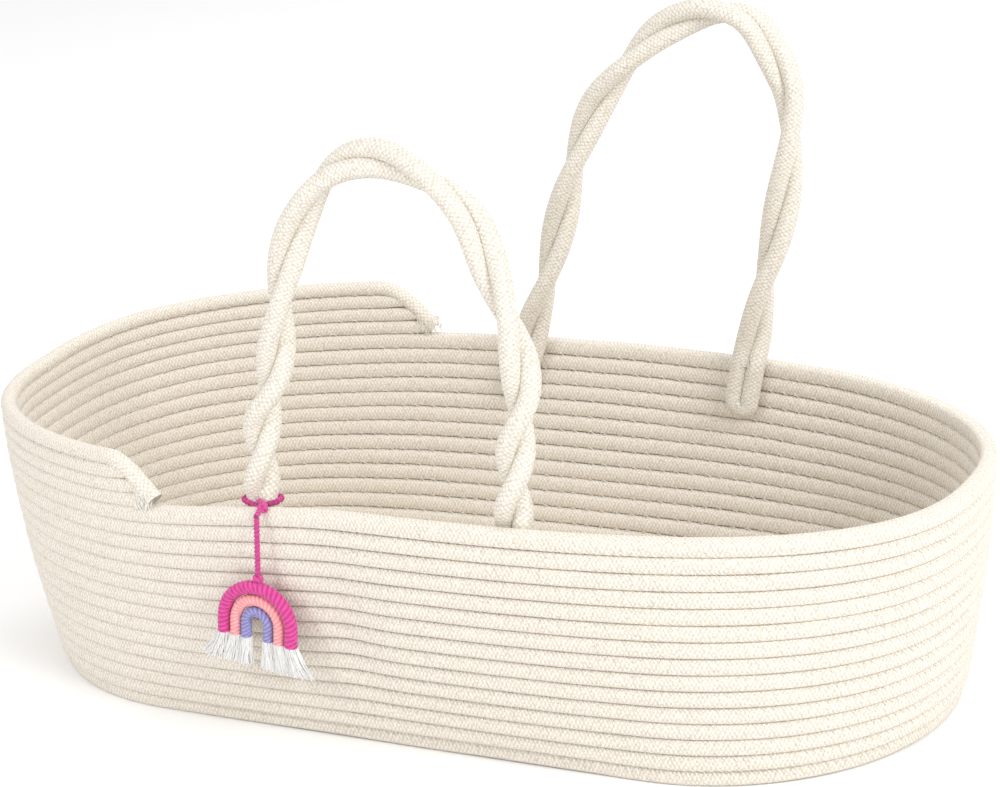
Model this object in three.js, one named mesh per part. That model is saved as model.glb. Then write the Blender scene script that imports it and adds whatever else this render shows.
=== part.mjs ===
// Oval rope bassinet basket with a raised head end, two twisted rope carrying handles and a
// hanging rainbow charm. Millimetres, +Z up, +X towards the foot end, -Y the charm's side.
// The origin is on the resting surface, below the middle of the basket.
import * as THREE from 'three';

// ---- Driving dimensions ----------------------------------------------------------------
const ropeDiameter = 12.2; // one wall rope, which is also the height of one course
const wallCourses = 15;
const headCourses = 4; // extra courses at the head end, the last one is the head rim rope
const headCourseHeight = 11; // they are pressed together more than the wall's
const rimHalfLength = 380; // to the middle of the rope
const rimHalfWidth = 197;
const rimSquareness = 2.49; // exponent of the rim's oval, 2 is an ellipse
const baseHalfStraight = 194; // the base is two half circles joined by straight sides
const baseEndRadius = 162;
const endBulge = 0.36; // how far the end walls belly out between base and rim
const sideBulge = 0.76;
const rimBow = 4.3; // the rim stands this much higher at mid length, and lower at the ends
const headRopeEnds = { front: -162, back: -136 }; // X of the head rim rope's two cut ends
const slopeLength = 45; // length of rim over which the head rim rope comes down
// The soft wall has settled towards the head, on the front twice as much as in the middle of
// the head end and not at all on the back.
const headSettle = 0.05; // share of the height lost in the middle of the head end
const settleReach = 0.6; // share of the half length over which it builds up

const strandDiameter = 14.6; // handle rope
const strandPress = 0.9; // each strand's width across the pair, as a share of its diameter
const pivotAboveWall = 24; // height of the handles' folding line over the wall's height
const stubDepth = 41; // how far the sewn handle ends reach below the wall's height
const stubThickness = 13.5; // the sewn ends are pressed a little flat
const stubBelowPivot = 15; // from the folding line down to the sewn ends' tops
const loopSqueeze = 2.6; // how far the charm's loop bites into the leg on each side
const stitchWidth = 2.6;
const threadThickness = 0.8;

const charmX = -63; // the hanging cord's upper end
const charmDrift = -4; // its lower end lies this much further towards the head
const charmCordDiameter = 4.4;
const charmCordDrop = 43; // height from the hanging cord's upper to its lower end
const charmStandOff = 9; // from the rim rope's middle out to the hanging cord
const charmLean = THREE.MathUtils.degToRad(7);
const tieGap = 0.6; // between the hanging cord's end and the rainbow's tie
const archRopes = [
  { name: 'inner', diameter: 8, colour: 0x8d86c4 },
  { name: 'middle', diameter: 8.6, colour: 0xf7a3b5 },
  { name: 'outer', diameter: 9.8, colour: 0xe8489c },
];
const innerArchRadius = 8.9; // middle line of the smallest arch
const archLegLength = 12;
const fringeLength = 22;

const touchGap = 0.3; // between pieces that touch
const floorGap = 0.7; // around the floor coil, whose edge follows the faceted wall
const stubGap = 0.8; // between a sewn handle end and the faceted wall
const loopGap = 0.7; // between the charm's loop and the handle end that it is tied around
const wallSteps = 80; // sections around the whole wall

const ropeRadius = ropeDiameter / 2;
const wallHeight = wallCourses * ropeDiameter;
const strandRadius = strandDiameter / 2;
const stubHalfWidth = strandDiameter;
const legHalfWidth = strandDiameter * strandPress;

// Each handle's middle line, seen from the front, from its head leg to its foot leg:
// X, and height above the folding line. Its two ends are the legs, and legSlopes says how
// far each leg's sewn end runs along X for its height.
const handles = {
  front: {
    side: -1,
    lean: 0.06,
    turns: 4,
    twist: (share) => share + 0.085 * Math.sin(2 * Math.PI * share) + 0.013 * Math.sin(4 * Math.PI * share),
    legSlopes: [0.08, 0.1],
    path: [[-74, 0], [-71, 34], [-58, 74], [-47, 135], [-30, 178], [-4, 211], [30, 222], [66, 211],
      [98, 186], [114, 146], [127, 105], [131, 72], [125, 36], [121, 0]],
  },
  back: {
    side: 1,
    lean: 0.05,
    turns: 3,
    twist: (share) => share + 0.026 * Math.sin(Math.PI * share),
    legSlopes: [0.36, 0.22],
    path: [[-38, 0], [-24, 35], [-9, 77], [10, 133], [36, 183], [74, 225], [104, 245], [136, 254],
      [166, 245], [188, 204], [190, 170], [184, 127], [172, 79], [160, 42], [150, 0]],
  },
};

// ---- Materials -------------------------------------------------------------------------
const finish = (color, roughness) => new THREE.MeshStandardMaterial({ color, roughness, metalness: 0 });
const wallRope = finish(0xe9e0d0, 0.95);
const handleRope = finish(0xe7ded2, 0.95);
const thread = finish(0xf6f2ea, 0.8);
const pinkCord = finish(0xe24b9b, 0.75);
const fringeYarn = finish(0xf3efe8, 0.95);

const group = new THREE.Group();

function addPiece(name, geometry, material, parent = group) {
  const mesh = new THREE.Mesh(geometry, material);
  mesh.name = name;
  parent.add(mesh);
  return mesh;
}

// ---- Solids from rows of sections ------------------------------------------------------
// Joins equal sections (closed loops of points) into one closed body. A closed row joins its
// last section to its first; an open one gets a flat cap at each end.
function loft(sections, closed = false) {
  const sides = sections[0].length;
  const positions = sections.flat().flatMap((p) => [p.x, p.y, p.z]);
  const triangles = [];
  const rows = closed ? sections.length : sections.length - 1;
  for (let i = 0; i < rows; i++) {
    const here = i * sides;
    const next = ((i + 1) % sections.length) * sides;
    for (let j = 0; j < sides; j++) {
      const k = (j + 1) % sides;
      triangles.push(here + j, next + j, next + k, here + j, next + k, here + k);
    }
  }
  if (!closed) {
    const last = (sections.length - 1) * sides;
    for (let j = 1; j < sides - 1; j++) {
      triangles.push(0, j, j + 1, last, last + j + 1, last + j);
    }
  }
  const geometry = new THREE.BufferGeometry();
  geometry.setAttribute('position', new THREE.Float32BufferAttribute(positions, 3));
  geometry.setIndex(triangles);
  if (signedVolume(geometry) < 0) {
    for (let i = 0; i < triangles.length; i += 3) {
      [triangles[i + 1], triangles[i + 2]] = [triangles[i + 2], triangles[i + 1]];
    }
    geometry.setIndex(triangles);
  }
  geometry.computeVertexNormals();
  return geometry;
}

function signedVolume(geometry) {
  const position = geometry.getAttribute('position');
  const corner = (i) => new THREE.Vector3().fromBufferAttribute(position, geometry.index.getX(i));
  let volume = 0;
  for (let i = 0; i < geometry.index.count; i += 3) {
    volume += corner(i).dot(corner(i + 1).cross(corner(i + 2))) / 6;
  }
  return volume;
}

// An oval section around a centre, across two directions. Squareness 2 gives a circle.
function ovalSection(centre, across, along, halfAcross, halfAlong, sides, squareness = 2) {
  const section = [];
  for (let i = 0; i < sides; i++) {
    const a = (2 * Math.PI * (i + 0.5)) / sides;
    const c = Math.cos(a);
    const s = Math.sin(a);
    section.push(centre.clone()
      .addScaledVector(across, halfAcross * Math.sign(c) * Math.abs(c) ** (2 / squareness))
      .addScaledVector(along, halfAlong * Math.sign(s) * Math.abs(s) ** (2 / squareness)));
  }
  return section;
}

// A round tube along a list of points; flat holds a direction that the path never takes.
function tube(points, radius, sides, flat, closed = false) {
  const sections = points.map((point, i) => {
    const before = points[closed ? (i + points.length - 1) % points.length : Math.max(i - 1, 0)];
    const after = points[closed ? (i + 1) % points.length : Math.min(i + 1, points.length - 1)];
    const run = after.clone().sub(before).normalize();
    const across = new THREE.Vector3().crossVectors(run, flat).normalize();
    const along = new THREE.Vector3().crossVectors(across, run).normalize();
    return ovalSection(point, across, along, radius, radius, sides);
  });
  return loft(sections, closed);
}

// ---- The wall's shape ------------------------------------------------------------------
// Outline of the base: straight sides with half-circle ends. Runs from +X through +Y.
class BaseOutline extends THREE.Curve {
  constructor(offset) {
    super();
    this.radius = baseEndRadius + offset;
    this.quarter = (Math.PI * this.radius) / 2;
    this.arcLengthDivisions = 720;
  }

  getPoint(t) {
    const { radius, quarter } = this;
    const straight = 2 * baseHalfStraight;
    const total = 2 * straight + 4 * quarter;
    const s = (t % 1) * total;
    const turn = (centreX, angle) => new THREE.Vector3(
      centreX + radius * Math.cos(angle), radius * Math.sin(angle), 0);
    if (s < quarter) return turn(baseHalfStraight, s / radius);
    if (s < quarter + straight) return new THREE.Vector3(baseHalfStraight - (s - quarter), radius, 0);
    if (s < 3 * quarter + straight) {
      return turn(-baseHalfStraight, Math.PI / 2 + (s - quarter - straight) / radius);
    }
    if (s < 3 * quarter + 2 * straight) {
      return new THREE.Vector3(-baseHalfStraight + (s - 3 * quarter - straight), -radius, 0);
    }
    return turn(baseHalfStraight, -Math.PI / 2 + (s - 3 * quarter - 2 * straight) / radius);
  }
}

// Outline of the rim: a squared oval.
class RimOutline extends THREE.Curve {
  constructor(offset) {
    super();
    this.halfLength = rimHalfLength + offset;
    this.halfWidth = rimHalfWidth + offset;
    this.arcLengthDivisions = 720;
  }

  getPoint(t) {
    const c = Math.cos(2 * Math.PI * t);
    const s = Math.sin(2 * Math.PI * t);
    const power = 2 / rimSquareness;
    return new THREE.Vector3(this.halfLength * Math.sign(c) * Math.abs(c) ** power,
      this.halfWidth * Math.sign(s) * Math.abs(s) ** power, 0);
  }
}

const outlines = new Map();
function outlinesAt(offset) {
  if (!outlines.has(offset)) {
    outlines.set(offset, { base: new BaseOutline(offset), rim: new RimOutline(offset) });
  }
  return outlines.get(offset);
}

// A point of the wall: around it (0 to 1 from +X through +Y), at a height, and at an offset
// outwards from the middle of the rope. Above the rim the wall goes straight up.
function wallPoint(around, height, offset) {
  const { base, rim } = outlinesAt(offset);
  const low = base.getPointAt(((around % 1) + 1) % 1);
  const high = rim.getPointAt(((around % 1) + 1) % 1);
  const level = Math.min(height / wallHeight, 1);
  const bulged = (bulge) => level + bulge * level * (1 - level);
  const x = THREE.MathUtils.lerp(low.x, high.x, bulged(endBulge));
  const y = THREE.MathUtils.lerp(low.y, high.y, bulged(sideBulge));
  const bow = rimBow * (1 - 2 * (high.x / rimHalfLength) ** 2);
  const settle = headSettle * THREE.MathUtils.smoothstep(-high.x, 0, settleReach * rimHalfLength)
    * (1 - high.y / rimHalfWidth);
  return new THREE.Vector3(x, y, height * (1 - settle) + level * bow);
}

// The place around the wall that lies at a given X on the front or the back.
function aroundAt(x, side, offset = 0, height = wallHeight) {
  let [low, high] = side > 0 ? [0, 0.5] : [0.5, 1];
  for (let i = 0; i < 40; i++) {
    const middle = (low + high) / 2;
    const ahead = wallPoint(middle, height, offset).x > x;
    if (ahead === side > 0) low = middle;
    else high = middle;
  }
  return (low + high) / 2;
}

const rimLength = outlinesAt(0).rim.getLength();

// ---- Floor and wall --------------------------------------------------------------------
function floorGeometry() {
  const edge = [];
  for (let i = 0; i < wallSteps; i++) {
    const p = wallPoint(i / wallSteps, 0, -ropeRadius - floorGap);
    edge.push(new THREE.Vector2(p.x, p.y));
  }
  const shape = new THREE.Shape(edge);
  return new THREE.ExtrudeGeometry(shape, { depth: ropeDiameter, bevelEnabled: false, steps: 1 });
}

function wallGeometry() {
  const top = wallHeight - ropeRadius;
  const levels = [0.04, 0.25, 0.5, 0.74, 0.92].map((share) => share * wallHeight);
  const profile = [[ropeRadius * 0.7, 0]];
  levels.forEach((height) => profile.push([ropeRadius, height]));
  for (let i = 0; i <= 4; i++) {
    const a = (Math.PI * i) / 4;
    profile.push([ropeRadius * Math.cos(a), top + ropeRadius * Math.sin(a)]);
  }
  levels.reverse().forEach((height) => profile.push([-ropeRadius, height]));
  profile.push([-ropeRadius, 0]);
  const sections = [];
  for (let i = 0; i < wallSteps; i++) {
    sections.push(profile.map(([offset, height]) => wallPoint(i / wallSteps, height, offset)));
  }
  return loft(sections, true);
}

addPiece('floor_coil', floorGeometry(), wallRope);
addPiece('wall_coil', wallGeometry(), wallRope);

// ---- Raised head end -------------------------------------------------------------------
// How far a rope's underside lies above the wall, at a distance from the rope's cut end.
function headRopeRise(distance) {
  const share = Math.min(Math.max(distance / slopeLength, 0), 1);
  return (headCourses - 1) * headCourseHeight * Math.sin((Math.PI / 2) * share);
}

const headStart = aroundAt(headRopeEnds.back, 1);
const headEnd = aroundAt(headRopeEnds.front, -1);

// A rope on the rim between two places around it; rise gives its underside over the wall.
function rimRope(places, rise) {
  const half = ropeRadius - touchGap / 2;
  const halfHigh = (headCourseHeight - touchGap) / 2;
  const sections = places.map((around) => {
    const section = [];
    for (let i = 0; i < 8; i++) {
      const a = (2 * Math.PI * (i + 0.5)) / 8;
      const lift = (headCourseHeight + touchGap) / 2 + halfHigh * Math.sin(a) * 1.05;
      section.push(wallPoint(around, wallHeight + rise(around) + lift, half * Math.cos(a) * 1.05));
    }
    return section;
  });
  return loft(sections);
}

function placesBetween(from, to, steps) {
  return Array.from({ length: steps + 1 }, (_, i) => from + ((to - from) * i) / steps);
}

for (let course = 1; course < headCourses; course++) {
  const reach = Math.min((course + 0.3) / (headCourses - 1), 1);
  const setBack = (slopeLength * (2 / Math.PI) * Math.asin(reach) + ropeRadius) / rimLength;
  const places = placesBetween(headStart + setBack, headEnd - setBack, 28);
  const rise = () => (course - 1) * headCourseHeight;
  addPiece(`head_course_${course}`, rimRope(places, rise), wallRope);
}

const slope = slopeLength / rimLength;
const headRimPlaces = [
  ...placesBetween(headStart, headStart + slope, 6),
  ...placesBetween(headStart + slope, headEnd - slope, 28).slice(1, -1),
  ...placesBetween(headEnd - slope, headEnd, 6),
];
const headRimRise = (around) => headRopeRise(Math.min(around - headStart, headEnd - around) * rimLength);
addPiece('head_rim_rope', rimRope(headRimPlaces, headRimRise), wallRope);

// The white thread that ties each cut end of the head rim rope down onto the rim.
function endTack(around) {
  const sections = placesBetween(around, around + 10 / rimLength, 2).map((place) => {
    const centre = wallPoint(place, wallHeight + 2, 0);
    const across = wallPoint(place, wallHeight, 4).sub(wallPoint(place, wallHeight, -4)).normalize();
    return ovalSection(centre, across, new THREE.Vector3(0, 0, 1), 4.5, 1.6, 8);
  });
  return loft(sections);
}
addPiece('head_rope_tack_back', endTack(headStart - 11 / rimLength), thread);
addPiece('head_rope_tack_front', endTack(headEnd + 1 / rimLength), thread);

// ---- Handles ---------------------------------------------------------------------------
const up = new THREE.Vector3(0, 0, 1);
const pivotHeight = wallHeight + pivotAboveWall;
const stubTop = pivotHeight - stubBelowPivot;
const stubOffset = -(ropeRadius + stubGap + stubThickness / 2);

// Sewn end of a handle: the rope turned back on itself and pressed flat against the wall's
// inside, with a round lower end.
function stubPlaces(x, side, slope, count) {
  const bottom = wallHeight - stubDepth;
  return Array.from({ length: count }, (_, i) => {
    const height = bottom + ((stubTop - bottom) * i) / (count - 1);
    const hereX = x + slope * (height - pivotHeight);
    const around = aroundAt(hereX, side, stubOffset, height);
    const sunk = wallPoint(around, height, 0).z - height;
    const centre = wallPoint(around, height - sunk, stubOffset);
    const reach = 0.01;
    const across = wallPoint(around + reach, height - sunk, stubOffset)
      .sub(wallPoint(around - reach, height - sunk, stubOffset)).setZ(0).normalize();
    const inwards = new THREE.Vector3(0, -side, 0);
    inwards.addScaledVector(across, -inwards.dot(across)).normalize();
    centre.z = height;
    return { centre, across, inwards, fromBottom: height - bottom };
  });
}

// The leg narrows from the sewn end's width to the handle's, and where a loop is tied round
// it, a little more.
function stubGeometry(x, side, slope, squeeze) {
  const sections = stubPlaces(x, side, slope, 12).map(({ centre, across, inwards, fromBottom }) => {
    const short = Math.max(stubHalfWidth - fromBottom, 0);
    const round = Math.sqrt(Math.max(stubHalfWidth ** 2 - short ** 2, 9));
    const thin = Math.min(0.55 + fromBottom / 12, 1);
    const neck = THREE.MathUtils.smoothstep(fromBottom, stubDepth - 14, stubDepth - 3);
    const narrow = neck * (stubHalfWidth - legHalfWidth + squeeze);
    const centreIn = centre.clone().addScaledVector(inwards, (thin - 1) * (stubThickness / 2));
    const halfThick = (stubThickness / 2) * thin - neck * squeeze * 0.5;
    return ovalSection(centreIn, across, inwards, round - narrow, halfThick, 12, 3);
  });
  return loft(sections);
}

// Zigzag stitching down the middle of a sewn end, on the side away from the wall.
function stubStitch(x, side, slope) {
  const places = stubPlaces(x, side, slope, 10).slice(2, 8);
  const sections = places.map(({ centre, across, inwards }) => {
    const face = stubThickness / 2 + touchGap + threadThickness / 2;
    return ovalSection(centre.clone().addScaledVector(inwards, face), across, inwards,
      stitchWidth / 2, threadThickness / 2, 6);
  });
  return loft(sections);
}

// A strand winds around its handle's middle line and is pressed a little flat by the other
// one. The twist starts at the rim, below the folding line, so that the strands are already
// part of a turn round where the handle folds.
const handleSteps = 46;
const strandGap = 0.3;
const twistBelowPivot = 20;
function handleStrand({ side, lean, turns, twist, path }, pivotY, start) {
  const line = new THREE.CatmullRomCurve3(path.map(([x, z]) => new THREE.Vector3(
    x, pivotY - side * lean * z, pivotHeight + z)), false, 'centripetal');
  line.arcLengthDivisions = 600;
  const length = line.getLength();
  const sideways = new THREE.Vector3(0, 1, side * lean).normalize();
  const halfWidth = (strandDiameter * strandPress) / 2;
  const sections = Array.from({ length: handleSteps + 1 }, (_, i) => {
    const share = i / handleSteps;
    const run = line.getTangentAt(share);
    const inPlane = new THREE.Vector3().crossVectors(sideways, run).normalize();
    const twistShare = (share * length + twistBelowPivot) / (length + 2 * twistBelowPivot);
    const angle = start + 2 * Math.PI * turns * twist(twistShare);
    const outward = inPlane.clone().multiplyScalar(Math.cos(angle))
      .addScaledVector(sideways, Math.sin(angle));
    const round = new THREE.Vector3().crossVectors(run, outward).normalize();
    const centre = line.getPointAt(share).addScaledVector(outward, halfWidth + strandGap);
    return ovalSection(centre, outward, round, halfWidth - strandGap, strandRadius, 10);
  });
  return loft(sections);
}

function legY(x, side) {
  return wallPoint(aroundAt(x, side, stubOffset), wallHeight, stubOffset).y;
}

for (const [name, handle] of Object.entries(handles)) {
  const { side, path, legSlopes } = handle;
  const pivotY = (legY(path[0][0], side) + legY(path.at(-1)[0], side)) / 2;
  ['head', 'foot'].forEach((end, i) => {
    const x = path[i * (path.length - 1)][0];
    const squeeze = name === 'front' && end === 'head' ? loopSqueeze : 0;
    addPiece(`${name}_handle_end_${end}`, stubGeometry(x, side, legSlopes[i], squeeze), handleRope);
    addPiece(`${name}_handle_stitch_${end}`, stubStitch(x, side, legSlopes[i]), thread);
  });
  addPiece(`${name}_handle_strand_a`, handleStrand(handle, pivotY, 0), handleRope);
  addPiece(`${name}_handle_strand_b`, handleStrand(handle, pivotY, Math.PI), handleRope);
}

// ---- Charm -----------------------------------------------------------------------------
const cordRadius = charmCordDiameter / 2;

// Cord loop tied around the front handle's head leg, where the leg comes over the rim.
function charmLoop() {
  const { path, legSlopes } = handles.front;
  const { centre, across, inwards } = stubPlaces(path[0][0], -1, legSlopes[0], 2).at(-1);
  const clear = cordRadius + loopGap;
  const rimTop = wallPoint(aroundAt(path[0][0], -1), wallHeight, 0).z;
  centre.z = (rimTop + stubTop) / 2;
  const points = ovalSection(centre, across, inwards, legHalfWidth - loopSqueeze + clear,
    (stubThickness - loopSqueeze) / 2 + clear, 24, 3);
  return tube(points, cordRadius, 6, up, true);
}

function knot(x, y, z, halfWidth, halfHeight) {
  const geometry = new THREE.SphereGeometry(1, 8, 6);
  geometry.scale(halfWidth, halfWidth * 0.9, halfHeight);
  geometry.translate(x, y, z);
  return geometry;
}

const tieHalfHeight = 2.2;
const tieHalfWidth = 3.8;
const rimAtCharm = wallPoint(aroundAt(charmX, -1), wallHeight, 0);
const charmY = rimAtCharm.y - ropeRadius - charmStandOff;
const cordTop = new THREE.Vector3(charmX, charmY, rimAtCharm.z - 1);
const cordEnd = cordTop.clone().add(new THREE.Vector3(charmDrift, 0, -charmCordDrop));
addPiece('charm_loop', charmLoop(), pinkCord);
addPiece('charm_loop_knot', knot(charmX, rimAtCharm.y - ropeRadius, rimAtCharm.z + tieHalfHeight + touchGap,
  tieHalfWidth, tieHalfHeight * 1.2), pinkCord);
const cordPath = Array.from({ length: 6 }, (_, i) => cordTop.clone().lerp(cordEnd, i / 5));
addPiece('charm_cord', tube(cordPath, cordRadius, 8, new THREE.Vector3(0, 1, 0)), pinkCord);

// The rainbow hangs from its tie in a group of its own, a little turned about the cord.
const rainbow = new THREE.Group();
rainbow.position.copy(cordEnd).setZ(cordEnd.z - tieGap);
rainbow.rotation.y = charmLean;
group.add(rainbow);
addPiece('charm_tie', knot(0, 0, -tieHalfHeight, tieHalfWidth, tieHalfHeight), pinkCord, rainbow);

const outward = new THREE.Vector3(0, 1, 0);
let archRadius = innerArchRadius;
const arches = archRopes.map((rope, i) => {
  if (i > 0) archRadius += (archRopes[i - 1].diameter + rope.diameter) / 2 + touchGap;
  return { ...rope, radius: archRadius };
});
const outerArch = arches.at(-1);
const archCentre = -2 * tieHalfHeight - touchGap - outerArch.radius - outerArch.diameter / 2;

for (const { name, diameter, colour, radius } of arches) {
  const points = [new THREE.Vector3(radius, 0, archCentre - archLegLength)];
  for (let i = 0; i <= 14; i++) {
    const a = (Math.PI * i) / 14;
    points.push(new THREE.Vector3(radius * Math.cos(a), 0, archCentre + radius * Math.sin(a)));
  }
  points.push(new THREE.Vector3(-radius, 0, archCentre - archLegLength));
  addPiece(`charm_arch_${name}`, tube(points, diameter / 2, 8, outward), finish(colour, 0.9), rainbow);

  // The arch's cotton core comes out of the wrapping as a brushed fringe at each leg.
  for (const [where, sign] of [['head', -1], ['foot', 1]]) {
    const spread = [[0, 0.8, 1], [0.35, 0.92, 1.06], [1, 0.95, 1.16]];
    const sections = spread.map(([down, width, out]) => ovalSection(
      new THREE.Vector3(sign * radius * out, 0,
        archCentre - archLegLength - touchGap - fringeLength * down),
      new THREE.Vector3(1, 0, 0), outward, (diameter / 2) * width, 4.2 * width, 8, 2.6));
    addPiece(`charm_fringe_${name}_${where}`, loft(sections), fringeYarn, rainbow);
  }
}

export default group;
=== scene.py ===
import math
import random

import bpy
from mathutils import Matrix, Quaternion, Vector, noise


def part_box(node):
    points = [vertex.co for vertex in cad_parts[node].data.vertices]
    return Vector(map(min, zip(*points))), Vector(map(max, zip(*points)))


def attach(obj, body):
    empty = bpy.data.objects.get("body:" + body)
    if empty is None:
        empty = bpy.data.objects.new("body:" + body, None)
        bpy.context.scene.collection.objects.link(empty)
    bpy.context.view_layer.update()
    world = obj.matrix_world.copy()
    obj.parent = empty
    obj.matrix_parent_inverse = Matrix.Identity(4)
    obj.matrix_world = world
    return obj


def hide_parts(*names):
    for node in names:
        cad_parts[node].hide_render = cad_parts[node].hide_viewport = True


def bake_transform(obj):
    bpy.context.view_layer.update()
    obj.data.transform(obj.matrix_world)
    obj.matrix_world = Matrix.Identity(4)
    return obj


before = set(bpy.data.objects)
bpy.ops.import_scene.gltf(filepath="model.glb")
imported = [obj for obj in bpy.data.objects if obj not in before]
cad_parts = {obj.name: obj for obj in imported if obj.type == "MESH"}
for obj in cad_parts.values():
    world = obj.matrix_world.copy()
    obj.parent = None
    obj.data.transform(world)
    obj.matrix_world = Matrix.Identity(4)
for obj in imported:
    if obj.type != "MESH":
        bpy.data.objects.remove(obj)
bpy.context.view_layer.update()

bpy.ops.object.select_all(action="DESELECT")

# ---- Camera ----------------------------------------------------------------------------
# A long lens on the front, turned towards the foot end, a little above the rim.
# It leans a few degrees, so the basket seems to run downhill to the right.
target = Vector((0.021, 0.0, 0.2094))
azimuth, elevation, roll = math.radians(28.0), math.radians(18.35), math.radians(-4.5)
distance = 2.0155
towards = Vector((math.sin(azimuth) * math.cos(elevation), -math.cos(azimuth) * math.cos(elevation),
                  math.sin(elevation)))
bpy.ops.object.camera_add(location=target + towards * distance)
camera = bpy.context.object
camera.rotation_mode = "QUATERNION"
camera.rotation_quaternion = (-towards).to_track_quat("-Z", "Y") @ Quaternion((0, 0, 1), roll)
camera.data.sensor_width = 36.0
camera.data.lens = 98.9
bpy.context.scene.camera = camera
bpy.context.scene.view_settings.view_transform = "Standard"


# ---- Charm cord ------------------------------------------------------------------------
# Cotton cord of three plies, tied round the front handle's head leg. It hangs over the rim
# and carries the rainbow, with the rainbow's tie as its knot.
class Wire:
    """An output of a material's node. Sums, products and other maths on it add their nodes."""

    def __init__(self, tree, socket=None):
        self.tree = tree
        self.socket = socket

    def node(self, kind, settings, values, output=0):
        made = self.tree.nodes.new(kind)
        for key, value in settings.items():
            setattr(made, key, value)
        for key, value in values.items():
            if isinstance(value, Wire):
                self.tree.links.new(value.socket, made.inputs[key])
            else:
                made.inputs[key].default_value = value
        return Wire(self.tree, made.outputs[output])

    def maths(self, operation, *values):
        return self.node("ShaderNodeMath", {"operation": operation}, dict(enumerate(values)))

    def __add__(self, other):
        return self.maths("ADD", self, other)

    def __sub__(self, other):
        return self.maths("SUBTRACT", self, other)

    def __rsub__(self, other):
        return self.maths("SUBTRACT", other, self)

    def __mul__(self, other):
        return self.maths("MULTIPLY", self, other)

    __radd__ = __add__
    __rmul__ = __mul__

    def sine(self):
        return self.maths("SINE", self)

    def size(self):
        return self.maths("ABSOLUTE", self)

    def mix(self, low, high):
        return self.node("ShaderNodeMix", {"data_type": "RGBA"}, {0: self, 6: low, 7: high}, 2)

    def noise(self, scale, detail=2.0):
        return self.node("ShaderNodeTexNoise", {}, {"Vector": self, "Scale": scale, "Detail": detail})


def new_material(name):
    """An empty cotton material, its shader, and a wire that starts expressions."""
    material = bpy.data.materials.new(name)
    material.use_nodes = True
    shader = material.node_tree.nodes["Principled BSDF"]
    return material, shader, Wire(material.node_tree)


def set_shader(shader, wire, colour, bump, depth, roughness=0.9, sheen=0.25):
    """Connects colour and bump, and sets the soft lustre that all cotton has."""
    tree = wire.tree
    tree.links.new(colour.socket, shader.inputs["Base Color"])
    normal = wire.node("ShaderNodeBump", {}, {"Height": bump, "Distance": depth, "Strength": 1.0})
    tree.links.new(normal.socket, shader.inputs["Normal"])
    shader.inputs["Roughness"].default_value = roughness
    shader.inputs["Sheen Weight"].default_value = sheen
    shader.inputs["Sheen Roughness"].default_value = 0.5
    shader.inputs["Specular IOR Level"].default_value = 0.25


def rope_uv(wire):
    """Place on a rope's skin: share around it, and metres along it."""
    uv = wire.node("ShaderNodeUVMap", {"uv_map": "UVMap"}, {})
    parts = uv.node("ShaderNodeSeparateXYZ", {}, {0: uv})
    return parts, Wire(wire.tree, parts.socket.node.outputs[1])


def yarn_material(name, deep, bright, twist_lay, ridges):
    """Dyed cotton: fine fibres that run at a slant round the cord, with painted shade between the plies."""
    material, shader, wire = new_material(name)
    around, along = rope_uv(wire)
    place = wire.node("ShaderNodeTexCoord", {}, {}, 3)
    ply_ridges_and_shade = (around * (2 * math.pi * ridges) + along * (2 * math.pi / twist_lay)).sine()
    fuzz = place.noise(1000.0, 3.0)
    patch = place.noise(260.0)
    # The slanting stripes darken the colour between the plies: painted shade, not dye.
    shade = ply_ridges_and_shade * 0.34 + fuzz * 0.6 + patch * 0.3 + 0.05
    colour = shade.mix(deep, bright)
    set_shader(shader, wire, colour, ply_ridges_and_shade * 0.5 + fuzz, 0.0004, 0.8, 0.3)
    return material


def oval_outline(half_width, half_height, squareness, sides, lobes=0, lobe_depth=0.0):
    """Closed outline of a cord's section, as a curve object for bevelling. It may have lobes."""
    outline = bpy.data.curves.new("section", "CURVE")
    spline = outline.splines.new("POLY")
    spline.points.add(sides - 1)
    spline.use_cyclic_u = True
    for i, point in enumerate(spline.points):
        angle = 2 * math.pi * i / sides
        across, up = math.cos(angle), math.sin(angle)
        size = 1 + lobe_depth * (math.cos(lobes * angle) - 1)
        power = 2 / squareness
        point.co = (half_width * size * math.copysign(abs(across) ** power, across),
                    half_height * size * math.copysign(abs(up) ** power, up), 0, 1)
    holder = bpy.data.objects.new("section", outline)
    bpy.context.collection.objects.link(holder)
    return holder


def lay_rope(name, runs, section, closed=False, tilts=None, radii=None, twist="MINIMUM"):
    """Lays rope along each run of points and makes it one mesh, with metres along it as UV."""
    parts = []
    for run in runs:
        curve = bpy.data.curves.new(name, "CURVE")
        curve.dimensions = "3D"
        curve.twist_mode = twist
        curve.bevel_mode = "OBJECT"
        curve.bevel_object = section
        curve.use_fill_caps = not closed
        spline = curve.splines.new("POLY")
        spline.points.add(len(run) - 1)
        spline.use_cyclic_u = closed
        for i, point in enumerate(run):
            spline.points[i].co = (*point, 1)
            spline.points[i].tilt = tilts[i] if tilts else 0.0
            spline.points[i].radius = radii[i] if radii else 1.0
        part = bpy.data.objects.new(name, curve)
        bpy.context.collection.objects.link(part)
        bpy.ops.object.select_all(action="DESELECT")
        part.select_set(True)
        bpy.context.view_layer.objects.active = part
        bpy.ops.object.convert(target="MESH")
        part = bpy.context.object
        length = sum((Vector(a) - Vector(b)).length for a, b in zip(run, run[1:]))
        for corner in part.data.uv_layers["UVMap"].data:
            corner.uv = (corner.uv[1], corner.uv[0] * length)
        parts.append(part)
    bpy.ops.object.select_all(action="DESELECT")
    for part in parts:
        part.select_set(True)
    bpy.context.view_layer.objects.active = parts[0]
    if len(parts) > 1:
        bpy.ops.object.join()
    rope = bpy.context.view_layer.objects.active
    rope.name = name
    bpy.ops.object.shade_smooth()
    bpy.data.objects.remove(section)
    return rope


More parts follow.
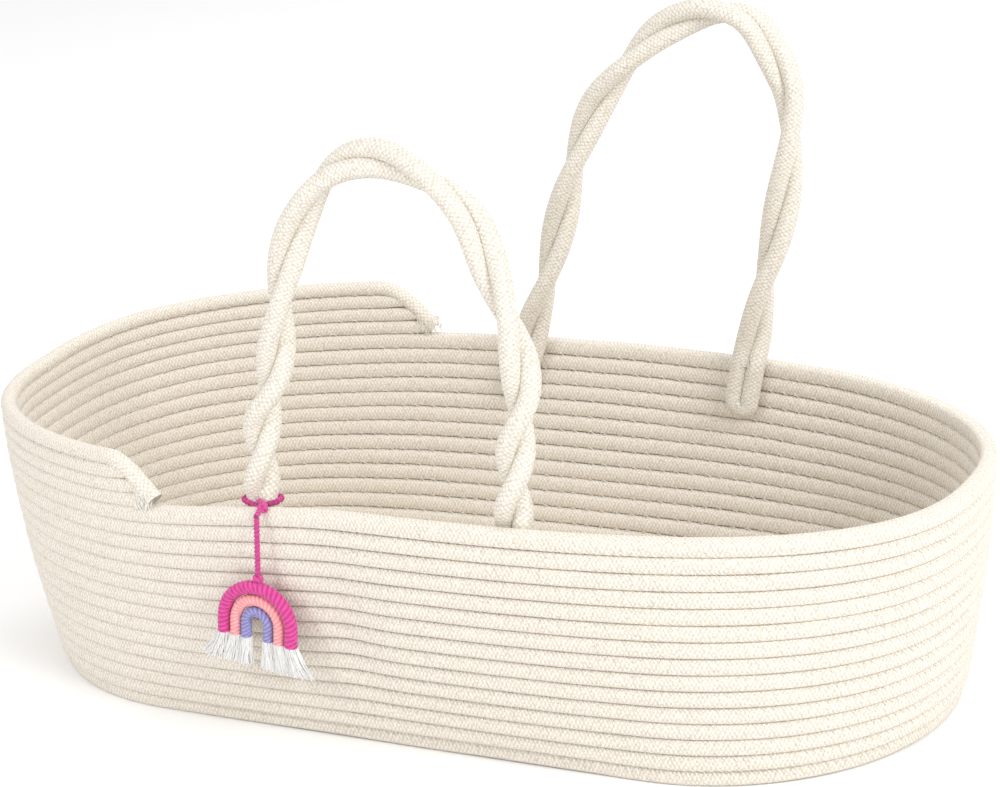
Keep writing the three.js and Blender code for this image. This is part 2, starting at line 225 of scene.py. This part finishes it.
hot_pink = yarn_material("hot_pink_yarn", (0.45, 0.025, 0.18, 1), (0.80, 0.09, 0.38, 1), 0.0035, 3)
cord_diameter = 0.0044
cord_exit = Vector((-0.0630, -0.2112, 0.1827))
cord_end = Vector((-0.0670, -0.2112, 0.1397))
cord_length = (cord_end - cord_exit).length
cord_steps = 60
cord_path = [cord_exit.lerp(cord_end, i / cord_steps) for i in range(cord_steps + 1)]
ply_lay = 0.0085  # length in which the plies go once round
cord_tilts = [2 * math.pi * cord_length * i / cord_steps / ply_lay for i in range(cord_steps + 1)]
charm_cord = lay_rope("charm_hanging_cord", [cord_path],
                      oval_outline(cord_diameter / 2, cord_diameter / 2, 2, 24, 3, 0.17), tilts=cord_tilts)
charm_cord.data.materials.append(hot_pink)
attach(charm_cord, "charm_hanger")
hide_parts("charm_cord")

# ---- Wall ------------------------------------------------------------------------------
# Undyed braided cotton rope, laid in fifteen courses on its edge and zigzag stitched, one
# to the next, from the floor to the low rim. It bellies out a little above the floor.
rope_diameter = 0.0122
courses = 15
wall_height = courses * rope_diameter
rim_half_length, rim_half_width, rim_squareness = 0.380, 0.197, 2.49
base_half_straight, base_end_radius = 0.194, 0.162
end_bulge, side_bulge = 0.36, 0.76
rim_bow = 0.0043
head_settle, settle_reach = 0.05, 0.6  # how far the soft wall has settled towards the head
outline_steps = 1440


def rim_outline(angle):
    c, s = math.cos(angle), math.sin(angle)
    power = 2 / rim_squareness
    return Vector((rim_half_length * math.copysign(abs(c) ** power, c),
                   rim_half_width * math.copysign(abs(s) ** power, s), 0))


rim_points = [rim_outline(2 * math.pi * i / outline_steps) for i in range(outline_steps + 1)]
rim_lengths = [0.0]
for before, after in zip(rim_points, rim_points[1:]):
    rim_lengths.append(rim_lengths[-1] + (after - before).length)
rim_length = rim_lengths[-1]


def rim_at(share):
    """Point of the rim's outline at a share of its length, from +X through +Y."""
    wanted = (share % 1.0) * rim_length
    low, high = 0, outline_steps
    while high - low > 1:
        middle = (low + high) // 2
        if rim_lengths[middle] <= wanted:
            low = middle
        else:
            high = middle
    part = (wanted - rim_lengths[low]) / (rim_lengths[high] - rim_lengths[low])
    return rim_points[low].lerp(rim_points[high], part)


def base_at(share):
    """Point of the base's outline, straight sides with half-circle ends, at the same share."""
    straight = 2 * base_half_straight
    quarter = math.pi * base_end_radius / 2
    place = (share % 1.0) * (2 * straight + 4 * quarter)
    turns = ((base_half_straight, 0.0, 0.0), (-base_half_straight, quarter + straight, math.pi / 2),
             (base_half_straight, 3 * quarter + 2 * straight, 1.5 * math.pi))
    if quarter <= place < quarter + straight:
        return Vector((base_half_straight - (place - quarter), base_end_radius, 0))
    if 3 * quarter + straight <= place < 3 * quarter + 2 * straight:
        return Vector((-base_half_straight + (place - 3 * quarter - straight), -base_end_radius, 0))
    centre, start, angle = [turn for turn in turns if place >= turn[1]][-1]
    angle += (place - start) / base_end_radius
    return Vector((centre + base_end_radius * math.cos(angle), base_end_radius * math.sin(angle), 0))


def wall_at(share, height):
    """Middle of the wall at a share of the way around and a height. It is upright above the rim."""
    level = min(height / wall_height, 1.0)
    low, high = base_at(share), rim_at(share)
    along = level + end_bulge * level * (1 - level)
    side = level + side_bulge * level * (1 - level)
    bow = rim_bow * (1 - 2 * (high.x / rim_half_length) ** 2)
    part = min(max(-high.x / (settle_reach * rim_half_length), 0.0), 1.0)
    settle = head_settle * part * part * (3 - 2 * part) * (1 - high.y / rim_half_width)
    return Vector((low.x + (high.x - low.x) * along, low.y + (high.y - low.y) * side,
                   height * (1 - settle) + level * bow))


def outwards_at(share, height):
    run = wall_at(share + 0.002, height) - wall_at(share - 0.002, height)
    return Vector((run.y, -run.x, 0)).normalized()


def share_at(x, side):
    """Share of the way around at which the rim has this X, at the back (1) or the front (-1)."""
    low, high = (0.0, 0.5) if side > 0 else (0.5, 1.0)
    for _ in range(40):
        middle = (low + high) / 2
        if (rim_at(middle).x > x) == (side > 0):
            low = middle
        else:
            high = middle
    return (low + high) / 2


def sag(share, height):
    """Small hand-made unevenness of the wall, outwards and up, and a soft fold in the front."""
    point = wall_at(share, height)
    wave = noise.noise(Vector((point.x * 9, point.y * 9, height * 14)))
    ripple = noise.noise(Vector((point.x * 30, point.y * 30, height * 60 + 7)))
    fold = 0.0
    if point.y < 0:
        across = (point.x - fold_x) / 0.026
        down = (height - 0.095) / 0.045
        fold = math.exp(-across * across - down * down)
    level = min(height / wall_height, 1.0)
    calm = min(level * 6, 1.0)
    return (0.0014 * wave + 0.0004 * ripple) * calm - fold_depth * fold, 0.0006 * wave + 0.0003 * ripple


fold_x, fold_depth = -0.016, 0.0045


def rope_place(share, height, offset=0.0):
    """Where the middle of a rope lies in the wall, with its unevenness."""
    out, up = sag(share, height)
    return wall_at(share, height) + outwards_at(share, height) * (out + offset) + Vector((0, 0, up))


needle_pitch = 0.0066


def rope_material(name, deep, bright, around_count, stitch_length, needle_holes):
    """Undyed braided cotton: crossing slanting stitches with painted shade between them, fuzz and a few seed
    flecks.
    Along the seams at its top and bottom it may have a row of dark needle holes."""
    material, shader, wire = new_material(name)
    around, along = rope_uv(wire)
    place = wire.node("ShaderNodeTexCoord", {}, {}, 3)
    pull = place.noise(330.0, 2.0) * 2.6  # uneven tension bends the stitches
    one_way = around * (math.pi * around_count) + along * (math.pi / stitch_length) + pull
    other_way = around * (math.pi * around_count) - along * (math.pi / stitch_length) + pull
    braid_and_shade = one_way.sine().size() * other_way.sine().size()
    fuzz = place.noise(620.0, 4.0)
    patch = place.noise(70.0, 3.0)
    # The braid's dark crossings put painted shade into the colour, for the grooves between the stitches.
    shade = braid_and_shade * 0.75 + fuzz * 1.5 + patch * 0.1 - 0.42
    cloth = shade.mix(deep, bright)
    fleck = wire.node("ShaderNodeMapRange", {},
                      {0: place.noise(430.0, 1.0), 1: 0.73, 2: 0.78, 3: 0.0, 4: 0.55})
    colour = fleck.mix(cloth, (0.42, 0.30, 0.19, 1))
    near_seam = wire.node("ShaderNodeMapRange", {}, {0: (around * (4 * math.pi)).maths("COSINE"),
                                                     1: -0.55, 2: -0.85, 3: 0.0, 4: needle_holes})
    at_hole = wire.node("ShaderNodeMapRange", {}, {0: (along * (2 * math.pi / needle_pitch)).sine(),
                                                   1: 0.55, 2: 0.9, 3: 0.0, 4: 1.0})
    colour = (near_seam * at_hole).mix(colour, (0.40, 0.29, 0.19, 1))
    set_shader(shader, wire, colour, braid_and_shade + fuzz * 0.6, 0.00022, 0.9, 0.1)
    return material


wall_cotton = rope_material("undyed_wall_rope", (0.53, 0.46, 0.37, 1), (0.86, 0.81, 0.73, 1), 9, 0.0030, 0.75)
rope_squareness = 3.4
ring_steps = 260
half_deep, half_tall = 0.0061, 0.00625
rings = []
for course in range(courses):
    height = (course + 0.5) * rope_diameter
    tuck = -0.0028 if course == 0 else (-0.0006 if course == 1 else 0.0)
    rings.append([rope_place(i / ring_steps, height, tuck) for i in range(ring_steps)])
wall = lay_rope("stitched_rope_wall", rings, oval_outline(half_deep, half_tall, rope_squareness, 14),
                closed=True, twist="Z_UP")
wall.data.materials.append(wall_cotton)
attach(wall, "basket")
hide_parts("wall_coil")

# ---- Seam thread -----------------------------------------------------------------------
# White zigzag thread over each seam between two courses. It shows as small peaks, lower
# inside than outside, and on the foot half of the front only as single slanting threads.
thread_colour = (0.93, 0.90, 0.84, 1)
thread_white, shader, wire = new_material("white_thread")
fibres = wire.node("ShaderNodeTexCoord", {}, {}, 3).noise(3000.0)
set_shader(shader, wire, fibres.mix((0.80, 0.76, 0.69, 1), thread_colour), fibres, 0.0001, 0.7)


def skin_offset(up):
    """How far a rope's skin stands out from its middle, at a height over that middle."""
    share = min(abs(up) / half_tall, 1.0)
    return half_deep * (1 - share ** rope_squareness) ** (1 / rope_squareness)


def lay_thread(name, runs, thickness):
    """Lays many short bits of thread as one mesh."""
    curve = bpy.data.curves.new(name, "CURVE")
    curve.dimensions = "3D"
    curve.bevel_depth = thickness / 2
    curve.bevel_resolution = 0
    curve.use_fill_caps = True
    for run in runs:
        spline = curve.splines.new("POLY")
        spline.points.add(len(run) - 1)
        for point, place in zip(spline.points, run):
            point.co = (*place, 1)
    holder = bpy.data.objects.new(name, curve)
    bpy.context.collection.objects.link(holder)
    bpy.ops.object.select_all(action="DESELECT")
    holder.select_set(True)
    bpy.context.view_layer.objects.active = holder
    bpy.ops.object.convert(target="MESH")
    thread = bpy.context.object
    thread.data.materials.append(thread_white)
    return thread


def zigzag(seam_height, first, last, pitch, rise, half_width, side):
    """Peaks of thread over a seam between two shares of the way around, outside or inside."""
    bits = []
    count = int((last - first) * rim_length / pitch)
    for i in range(count):
        middle = first + (last - first) * (i + chance.random() * 0.3) / count
        reach = half_width * (0.8 + 0.4 * chance.random()) / rim_length
        lift = rise * (0.75 + 0.5 * chance.random())
        bit = []
        for shift, up in ((-reach, -0.0002), (-reach * 0.5, lift * 0.5), (0.0, lift),
                          (reach * 0.5, lift * 0.5), (reach, -0.0002)):
            height = seam_height + up
            over = up - rope_diameter / 2 if up > 0 else rope_diameter / 2 + up
            stand = skin_offset(over) + 0.0001
            bit.append(rope_place(middle + shift, height, side * stand))
        bits.append(bit)
    return bits


def slants(seam_height, first, last, pitch, size):
    """Single slanting threads over a seam, outside, where only one leg of the zigzag shows."""
    bits = []
    count = int((last - first) * rim_length / pitch)
    for i in range(count):
        middle = first + (last - first) * (i + chance.random() * 0.3) / count
        bit = []
        for part in (-1.0, -0.5, 0.0, 0.5, 1.0):
            over = rope_diameter / 2 - abs(part) * size / 2
            place = middle + part * size / 2 / rim_length
            bit.append(rope_place(place, seam_height - part * size / 2, skin_offset(over) + 0.0002))
        bits.append(bit)
    return bits


chance = random.Random(7)
stitches = []
slants_from = share_at(-0.03, -1)
for seam in range(1, courses):
    stitches += zigzag(seam * rope_diameter, 0.0, slants_from, 0.0132, 0.0034, 0.0035, 1)
    stitches += slants(seam * rope_diameter, slants_from, 1.0, 0.0063, 0.0055)
    stitches += zigzag(seam * rope_diameter, 0.0, 1.0, 0.0132, 0.0024, 0.0028, -1)
seam_thread = lay_thread("wall_seam_thread", stitches, 0.0007)
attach(seam_thread, "basket")

# ---- Floor -----------------------------------------------------------------------------
# The same rope coiled flat, from a straight middle out to the wall, and stitched the same
# way, though no thread is drawn on it. The wall's first course stands round its edge.
floor_half_tall = 0.0060
floor_rings = []
gap_to_wall = 0.0007
for turn in range(13):
    radius = base_end_radius - rope_diameter * (turn + 1) - gap_to_wall
    if radius < 0.002:
        break
    ring = []
    for i in range(160):
        outer = base_at(i / 160)
        centre = Vector((max(-base_half_straight, min(base_half_straight, outer.x)), 0, 0))
        away = (outer - centre).normalized()
        ring.append(centre + away * radius + Vector((0, 0, rope_diameter / 2)))
    floor_rings.append(ring)
floor_coil = lay_rope("stitched_rope_floor", floor_rings, oval_outline(0.00625, floor_half_tall, 2.4, 10),
                      closed=True, twist="Z_UP")
floor_coil.data.materials.append(wall_cotton)
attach(floor_coil, "basket")
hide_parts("floor_coil")

# ---- Raised head end -------------------------------------------------------------------
# Three short courses and a head rim rope are stitched on top of the low rim at the head
# end. The head rim rope comes down at both sides over the short ones and is cut off there.
head_courses = 4
head_course_height = 0.011
head_rope_ends = (-0.136, -0.162)  # X of the cut ends, back and front
slope_length = 0.045
head_start, head_end = share_at(head_rope_ends[0], 1), share_at(head_rope_ends[1], -1)


def head_rise(share):
    """How far the head rim rope's underside lies over the low rim."""
    along = min(share - head_start, head_end - share) * rim_length
    part = min(max(along / slope_length, 0.0), 1.0)
    return (head_courses - 1) * head_course_height * math.sin(part * math.pi / 2)


short_runs = []
short_steps = 110
for course in range(1, head_courses):
    reach = (course - 0.75) / (head_courses - 1)
    set_back = slope_length * (2 / math.pi) * math.asin(reach) / rim_length
    first, last = head_start + set_back, head_end - set_back
    height = wall_height + (course - 0.5) * head_course_height
    short_runs.append([rope_place(first + (last - first) * i / short_steps, height)
                       for i in range(short_steps + 1)])
short_radii = [0.8 + 0.2 * min(min(i, short_steps - i) / 3, 1.0) for i in range(short_steps + 1)]
head_tall = half_tall * head_course_height / rope_diameter
short_ropes = lay_rope("head_short_courses", short_runs,
                       oval_outline(half_deep, head_tall, rope_squareness, 14),
                       radii=short_radii, twist="Z_UP")
short_ropes.data.materials.append(wall_cotton)
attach(short_ropes, "basket")
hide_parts("head_course_1", "head_course_2", "head_course_3")

head_steps = 150
head_run = []
for i in range(head_steps + 1):
    share = head_start + (head_end - head_start) * i / head_steps
    height = wall_height + head_course_height / 2 + head_rise(share)
    head_run.append(rope_place(share, height))
head_rope = lay_rope("head_rim_rope_cover", [head_run],
                     oval_outline(half_deep * 1.02, head_tall, 2.2, 14), twist="Z_UP")
head_rope.data.materials.append(wall_cotton)
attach(head_rope, "basket")
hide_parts("head_rim_rope")

head_stitches = []
for seam in range(0, head_courses):
    set_back = 0.052 / rim_length if seam else 0.02 / rim_length
    height = wall_height + seam * head_course_height
    head_stitches += zigzag(height, head_start + set_back, head_end - set_back, 0.0132, 0.0034, 0.0035, 1)
    head_stitches += zigzag(height, head_start + set_back, head_end - set_back, 0.0132, 0.0024, 0.0028, -1)
head_thread = lay_thread("head_seam_thread", head_stitches, 0.0007)
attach(head_thread, "basket")


# ---- Tacks on the head rim rope's cut ends ---------------------------------------------
# Each cut end is held and kept from fraying by a bunch of white thread, sewn over and over
# through the rope and the low rim.
def tack(name, share, node):
    bits = []
    for _ in range(90):
        along = share + chance.uniform(-0.009, 0.007) / rim_length
        height = wall_height + chance.uniform(-0.002, 0.011)
        lean = chance.uniform(-0.0018, 0.0018) / rim_length
        side = chance.choice((1, 1, -1))
        reach = chance.uniform(0.003, 0.0055)
        bit = []
        for part in (0.0, 0.33, 0.66, 1.0):
            up = height + reach * part
            bulge = half_deep * (0.97 + 0.06 * math.sin(part * math.pi))
            bit.append(rope_place(along + lean * part, up, side * bulge))
        bits.append(bit)
    for _ in range(40):
        along = share + chance.uniform(-0.008, 0.003) / rim_length
        height = wall_height + chance.uniform(0.004, 0.013)
        bit = []
        for part in (0.0, 0.25, 0.5, 0.75, 1.0):
            angle = part * math.pi
            bit.append(rope_place(along, height + 0.003 * math.sin(angle), half_deep * math.cos(angle)))
        bits.append(bit)
    made = lay_thread(name, bits, 0.0007)
    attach(made, "basket")
    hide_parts(node)


tack("back_end_tack", head_start + 0.006 / rim_length, "head_rope_tack_back")
tack("front_end_tack", head_end - 0.006 / rim_length, "head_rope_tack_front")

# ---- Handles ---------------------------------------------------------------------------
# Each handle is one thicker braided rope, turned back on itself and twisted. Its two round
# ends are sewn flat inside the wall, over three courses deep, and it bends where it leaves them.
strand_diameter = 0.0142
strand_apart = 0.0064  # from the handle's middle line; the strands are pressed together
pivot_height = wall_height + 0.024
end_depth = 0.041
end_thickness = 0.0135
twist_below = 0.020  # the twist starts this far under the folding line
end_gap = 0.0008
handle_cotton = rope_material("undyed_handle_rope", (0.50, 0.44, 0.36, 1), (0.85, 0.81, 0.73, 1),
                              9, 0.0032, 0.0)

handle_shapes = {
    "front": {
        "side": -1, "lean": 0.06, "turns": 4, "slopes": (0.08, 0.10),
        "path": [(-74, 0), (-71, 34), (-58, 74), (-47, 135), (-30, 178), (-4, 211), (30, 222),
                 (66, 211), (98, 186), (114, 146), (127, 105), (131, 72), (125, 36), (121, 0)],
        "twist": lambda part: (part + 0.085 * math.sin(2 * math.pi * part)
                               + 0.013 * math.sin(4 * math.pi * part)),
    },
    "back": {
        "side": 1, "lean": 0.05, "turns": 3, "slopes": (0.36, 0.22),
        "path": [(-38, 0), (-24, 35), (-9, 77), (10, 133), (36, 183), (74, 225), (104, 245), (136, 254),
                 (166, 245), (188, 204), (190, 170), (184, 127), (172, 79), (160, 42), (150, 0)],
        "twist": lambda part: part + 0.026 * math.sin(math.pi * part),
    },
}


def smooth(points, steps):
    """Points of a smooth curve through the given ones."""
    padded = [points[0] * 2 - points[1], *points, points[-1] * 2 - points[-2]]
    made = []
    for a, b, c, d in zip(padded, padded[1:], padded[2:], padded[3:]):
        for i in range(steps):
            t = i / steps
            made.append(0.5 * ((2 * b) + (c - a) * t + (2 * a - 5 * b + 4 * c - d) * t * t
                               + (3 * b - a - 3 * c + d) * t ** 3))
    made.append(points[-1].copy())
    return made


def even(points, gap):
    """The same line with its points an even gap apart."""
    lengths = [0.0]
    for a, b in zip(points, points[1:]):
        lengths.append(lengths[-1] + (b - a).length)
    count = max(int(lengths[-1] / gap), 2)
    made, k = [], 0
    for i in range(count + 1):
        wanted = lengths[-1] * i / count
        while k < len(points) - 2 and lengths[k + 1] < wanted:
            k += 1
        part = (wanted - lengths[k]) / (lengths[k + 1] - lengths[k])
        made.append(points[k].lerp(points[k + 1], part))
    return made


def sewn_end(x, side, slope, offset):
    """Middle line of a sewn end, lowest point first. It leans like the leg above it."""
    lowest = wall_height - end_depth + strand_diameter / 2 + strand_apart
    line = []
    for i in range(6):
        height = lowest + (wall_height + 0.004 - lowest) * i / 5
        here = x + slope * (height - pivot_height)
        share = share_at(here, side)
        same_height = 2 * height - wall_at(share, height).z
        point = wall_at(share, same_height) - outwards_at(share, same_height) * offset
        line.append(Vector((here, point.y, height)))
    return line


loop_low, loop_high = (Vector(corner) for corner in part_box("charm_loop"))
tied_at = (loop_low + loop_high) / 2


def twisted_handle(name, shape):
    side, lean = shape["side"], shape["lean"]
    offset = rope_diameter / 2 + end_gap + end_thickness / 2
    head_x, foot_x = shape["path"][0][0] / 1000, shape["path"][-1][0] / 1000
    head_line = sewn_end(head_x, side, shape["slopes"][0], offset)
    foot_line = sewn_end(foot_x, side, shape["slopes"][1], offset)
    pivot_y = (head_line[-1].y + foot_line[-1].y) / 2
    arch = [Vector((x / 1000, pivot_y - side * lean * z / 1000, pivot_height + z / 1000))
            for x, z in shape["path"]]
    line = even(smooth(head_line + arch + foot_line[::-1], 8), 0.004)
    sideways = Vector((0, 1, side * lean)).normalized()
    from_base = [0.0]
    for a, b in zip(line, line[1:]):
        from_base.append(from_base[-1] + (b - a).length)
    sewn = pivot_height - twist_below - head_line[0].z
    free = from_base[-1] - 2 * sewn
    strands = [[], []]
    for i, point in enumerate(line):
        run = (line[min(i + 1, len(line) - 1)] - line[max(i - 1, 0)]).normalized()
        in_plane = sideways.cross(run).normalized()
        part = min(max((from_base[i] - sewn) / free, 0.0), 1.0)
        angle = 2 * math.pi * shape["turns"] * shape["twist"](part)
        spread = in_plane * math.cos(angle) + sideways * math.sin(angle)
        tied = math.exp(-((point - tied_at).length / 0.007) ** 2) if name == "front" else 0.0
        strands[0].append(point + spread * strand_apart * (1 - 0.3 * tied))
        strands[1].append(point - spread * strand_apart * (1 - 0.3 * tied))
    loop = []
    loop += strands[0]
    for end, strand_from in ((-1, 0), (0, 1)):
        low = line[end]
        away = strands[strand_from][end] - low
        for i in range(1, 8):
            angle = math.pi * i / 8
            loop.append(low + away * math.cos(angle) + Vector((0, 0, -strand_apart)) * math.sin(angle))
        if end == -1:
            loop += strands[1][::-1]
    rope = lay_rope(f"{name}_handle_rope", [loop],
                    oval_outline(strand_diameter / 2, strand_diameter / 2, 2, 18), closed=True)
    rope.data.materials.append(handle_cotton)
    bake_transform(rope)
    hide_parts(f"{name}_handle_strand_a", f"{name}_handle_strand_b",
                f"{name}_handle_end_head", f"{name}_handle_end_foot")
    return head_line, foot_line


def sewn_end_thread(name, line, side, node):
    """A row of stitches in the valley between the two strands, and a tack at its top."""
    bits = []
    inwards = -side
    for i in range(11):
        height = line[0].z - 0.002 + i * 0.0032
        near = min(line, key=lambda p: abs(p.z - height))
        x, y = near.x, near.y + inwards * 0.0046
        bits.append([Vector((x + 0.0006, y, height)), Vector((x, y + inwards * 0.0003, height + 0.0013)),
                     Vector((x - 0.0005, y, height + 0.0026))])
    for i in range(14):
        height = line[-1].z - 0.002 + i * 0.0005
        x, y = line[-1].x, line[-1].y + inwards * 0.0056
        bits.append([Vector((x - 0.0026, y + inwards * 0.0010, height)),
                     Vector((x, y, height + chance.uniform(-0.0005, 0.0005))),
                     Vector((x + 0.0026, y + inwards * 0.0010, height + chance.uniform(-0.001, 0.001)))])
    for i in range(10):
        height = line[0].z - 0.006 + 0.004 * chance.random()
        start = line[0].x + chance.uniform(-0.003, 0.003)
        y = line[0].y + inwards * (end_thickness / 2 + 0.0004)
        bits.append([Vector((start, y, height)),
                     Vector((start + 0.0015, y + inwards * 0.0002, height + 0.001))])
    made = lay_thread(f"{name}_stitches", bits, 0.0006)
    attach(made, "basket")
    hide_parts(node)


for handle_name, handle_shape in handle_shapes.items():
    sewn_ends = twisted_handle(handle_name, handle_shape)
    for end_name, end_line in zip(("head", "foot"), sewn_ends):
        sewn_end_thread(f"{handle_name}_{end_name}_end", end_line, handle_shape["side"],
                        f"{handle_name}_handle_stitch_{end_name}")

# ---- Charm loop and knot ---------------------------------------------------------------
# The charm's cord goes round the handle's head leg just over the rim and is knotted in
# front. The knot lies on the outer edge of the rim, and the hanging cord comes out below.
loop_centre = tied_at
loop_half = (loop_high - loop_low) / 2 - Vector((cord_diameter / 2, cord_diameter / 2, 0))
loop_path, loop_tilts = [], []
loop_steps = 110
for i in range(loop_steps):
    angle = 2 * math.pi * i / loop_steps
    c, s = math.cos(angle), math.sin(angle)
    dip = 0.0028 + 0.0026 * math.exp(-((angle - 1.53 * math.pi) / 0.35) ** 2)
    loop_path.append(loop_centre + Vector((loop_half.x * math.copysign(abs(c) ** 0.66, c),
                                           loop_half.y * math.copysign(abs(s) ** 0.66, s), -dip)))
    loop_tilts.append(2 * math.pi * 14 * i / loop_steps)
charm_loop = lay_rope("charm_tied_loop", [loop_path],
                      oval_outline(cord_diameter / 2, cord_diameter / 2, 2, 24, 3, 0.17),
                      closed=True, tilts=loop_tilts)
charm_loop.data.materials.append(hot_pink)
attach(charm_loop, "basket")
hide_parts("charm_loop")

knot_low, knot_high = (Vector(corner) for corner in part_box("charm_loop_knot"))
knot_centre = (knot_low + knot_high) / 2


def tied_knot(name, centre, size, leans):
    """A small overhand knot: turns of cord that cross each other round a middle."""
    turns = []
    for lean in leans:
        turn = []
        swing = Matrix.Rotation(lean[0], 3, "X") @ Matrix.Rotation(lean[1], 3, "Y")
        for i in range(28):
            angle = 2 * math.pi * i / 28
            turn.append(centre + swing @ Vector((size * math.cos(angle), size * 0.55 * math.sin(angle),
                                                 0.0007 * math.sin(2 * angle))))
        turns.append(turn)
    return lay_rope(name, turns, oval_outline(0.0014, 0.0014, 2, 10), closed=True)


loop_knot = tied_knot("charm_loop_tied_knot", knot_centre, 0.0026,
                      ((0.5, 0.5), (1.6, 0.2), (0.4, -0.9), (1.2, 1.3)))
rim_here = rope_place(share_at(cord_exit.x, -1), wall_height)
tail = smooth([Vector((loop_centre.x + 0.002, loop_low.y + 0.0022, loop_centre.z - 0.001)),
               rim_here + Vector((0.0, -0.002, cord_diameter / 2 + 0.0008)),
               rim_here + Vector((0.0, -0.009, cord_diameter / 2 - 0.0004)),
               cord_exit + Vector((0, 0, 0.0004))], 10)
tail_cord = lay_rope("charm_tail_over_rim", [tail],
                     oval_outline(cord_diameter / 2, cord_diameter / 2, 2, 24, 3, 0.17),
                     tilts=[0.35 * i for i in range(len(tail))])
for piece in (loop_knot, tail_cord):
    piece.data.materials.append(hot_pink)
    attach(piece, "basket")
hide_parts("charm_loop_knot")

# ---- Rainbow ---------------------------------------------------------------------------
# Three cotton cores wrapped close with dyed yarn and bent into arches, one inside the
# other. A tie of the hanging cord holds them at the top.
rainbow_lean = math.radians(7)
tie_gap = 0.0006
hang = cord_end - Vector((0, 0, tie_gap))
turned = Matrix.Rotation(rainbow_lean, 3, "Y")
tie_height = 0.0044
leg_length = 0.012
touch = 0.0003
light_pink = yarn_material("light_pink_yarn", (0.80, 0.25, 0.27, 1), (0.99, 0.50, 0.50, 1), 0.003, 5)
violet = yarn_material("violet_yarn", (0.17, 0.16, 0.38, 1), (0.40, 0.38, 0.70, 1), 0.003, 5)
arch_ropes = (("inner", 0.0080, violet, "violet_yarn", 0.0025),
              ("middle", 0.0086, light_pink, "light_pink_yarn", 0.0025),
              ("outer", 0.0098, hot_pink, "pink_yarn", 0.0026))
radii = [0.0089]
for (_, inner, *_), (_, outer, *_) in zip(arch_ropes, arch_ropes[1:]):
    radii.append(radii[-1] + (inner + outer) / 2 + touch)
arch_drop = -tie_height - touch - radii[-1] - arch_ropes[-1][1] / 2

fringe_cotton, shader, wire = new_material("white_fringe")
soft = wire.node("ShaderNodeTexCoord", {}, {}, 3).noise(900.0, 3.0)
set_shader(shader, wire, soft.mix((0.70, 0.69, 0.67, 1), (0.93, 0.92, 0.91, 1)), soft, 0.0002, 0.85)


def in_rainbow(x, y, z):
    return hang + turned @ Vector((x, y, z))


for (arch_name, thick, yarn, slot_name, ridge), radius in zip(arch_ropes, radii):
    centre_line = [(radius, arch_drop - leg_length)]
    for i in range(49):
        angle = math.pi * i / 48
        centre_line.append((radius * math.cos(angle), arch_drop + radius * math.sin(angle)))
    centre_line.append((-radius, arch_drop - leg_length))
    dense = even([in_rainbow(x, 0, z) for x, z in centre_line], ridge / 6)
    swell = [0.87 + 0.13 * math.sin(math.pi * (i % 6) / 6) for i in range(len(dense))]
    arch = lay_rope(f"rainbow_arch_{arch_name}", [dense], oval_outline(thick / 2, thick / 2, 2, 18),
                    radii=swell)
    arch.data.materials.append(yarn)
    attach(arch, "charm")
    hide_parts(f"charm_arch_{arch_name}")

    for where, sign in (("head", -1), ("foot", 1)):
        hairs = []
        for _ in range(230):
            start_angle = chance.uniform(0, 2 * math.pi)
            start_out = thick * 0.52 * math.sqrt(chance.random())
            x0 = sign * radius + start_out * math.cos(start_angle)
            y0 = start_out * 0.85 * math.sin(start_angle)
            spread = 1.16 + 0.2 * chance.random()
            drift = sign * radius * (spread - 1) + start_out * math.cos(start_angle) * 0.85
            length = 0.022 * chance.uniform(0.82, 1.0)
            wave = chance.uniform(-0.0008, 0.0008)
            top = arch_drop - leg_length + 0.0006
            hair = []
            for part in (0.0, 0.25, 0.5, 0.75, 1.0):
                hair.append(in_rainbow(x0 + drift * part ** 1.3 + wave * math.sin(part * 5),
                                       y0 * (1 - 0.1 * part), top - length * part))
            hairs.append(hair)
        fringe = lay_thread(f"rainbow_fringe_{arch_name}_{where}", hairs, 0.00085)
        fringe.data.materials.clear()
        fringe.data.materials.append(fringe_cotton)
        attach(fringe, "charm")
        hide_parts(f"charm_fringe_{arch_name}_{where}")

tie = tied_knot("rainbow_tie", hang + Vector((0, 0, -0.0022)), 0.0026,
                ((0.1, 0.0), (0.5, 0.6), (1.5, 0.0), (-0.4, -0.6)))
tie.data.materials.append(hot_pink)
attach(tie, "charm")
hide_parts("charm_tie")

# ---- Floor and lights ------------------------------------------------------------------
# A plain pale floor, a small soft light in front on the camera's left, a larger and
# stronger one from the foot end, a weak one behind, and a pale sky for the rest.
bpy.ops.mesh.primitive_plane_add(size=14, location=(0, 0, -0.0005))
ground = bpy.context.object
ground.name = "pale_floor"
paper, shader, wire = new_material("pale_paper")
shader.inputs["Base Color"].default_value = (0.96, 0.96, 0.96, 1)
shader.inputs["Roughness"].default_value = 0.9
ground.data.materials.append(paper)


def soft_light(name, location, size, power):
    bpy.ops.object.light_add(type="AREA", location=location)
    light = bpy.context.object
    light.name = name
    light.data.shape = "DISK"
    light.data.size = size
    light.data.energy = power
    light.rotation_mode = "QUATERNION"
    light.rotation_quaternion = (Vector((0, 0, 0.15)) - Vector(location)).to_track_quat("-Z", "Y")


soft_light("key_light", (-0.9, -2.2, 2.1), 0.8, 17)
soft_light("fill_light", (2.8, -1.2, 2.2), 1.8, 62)
soft_light("back_light", (0.3, 2.4, 2.2), 1.6, 18)
sky = bpy.data.worlds.new("pale_sky")
bpy.context.scene.world = sky
sky.use_nodes = True
sky.node_tree.nodes["Background"].inputs["Color"].default_value = (1, 1, 1, 1)
sky.node_tree.nodes["Background"].inputs["Strength"].default_value = 0.86
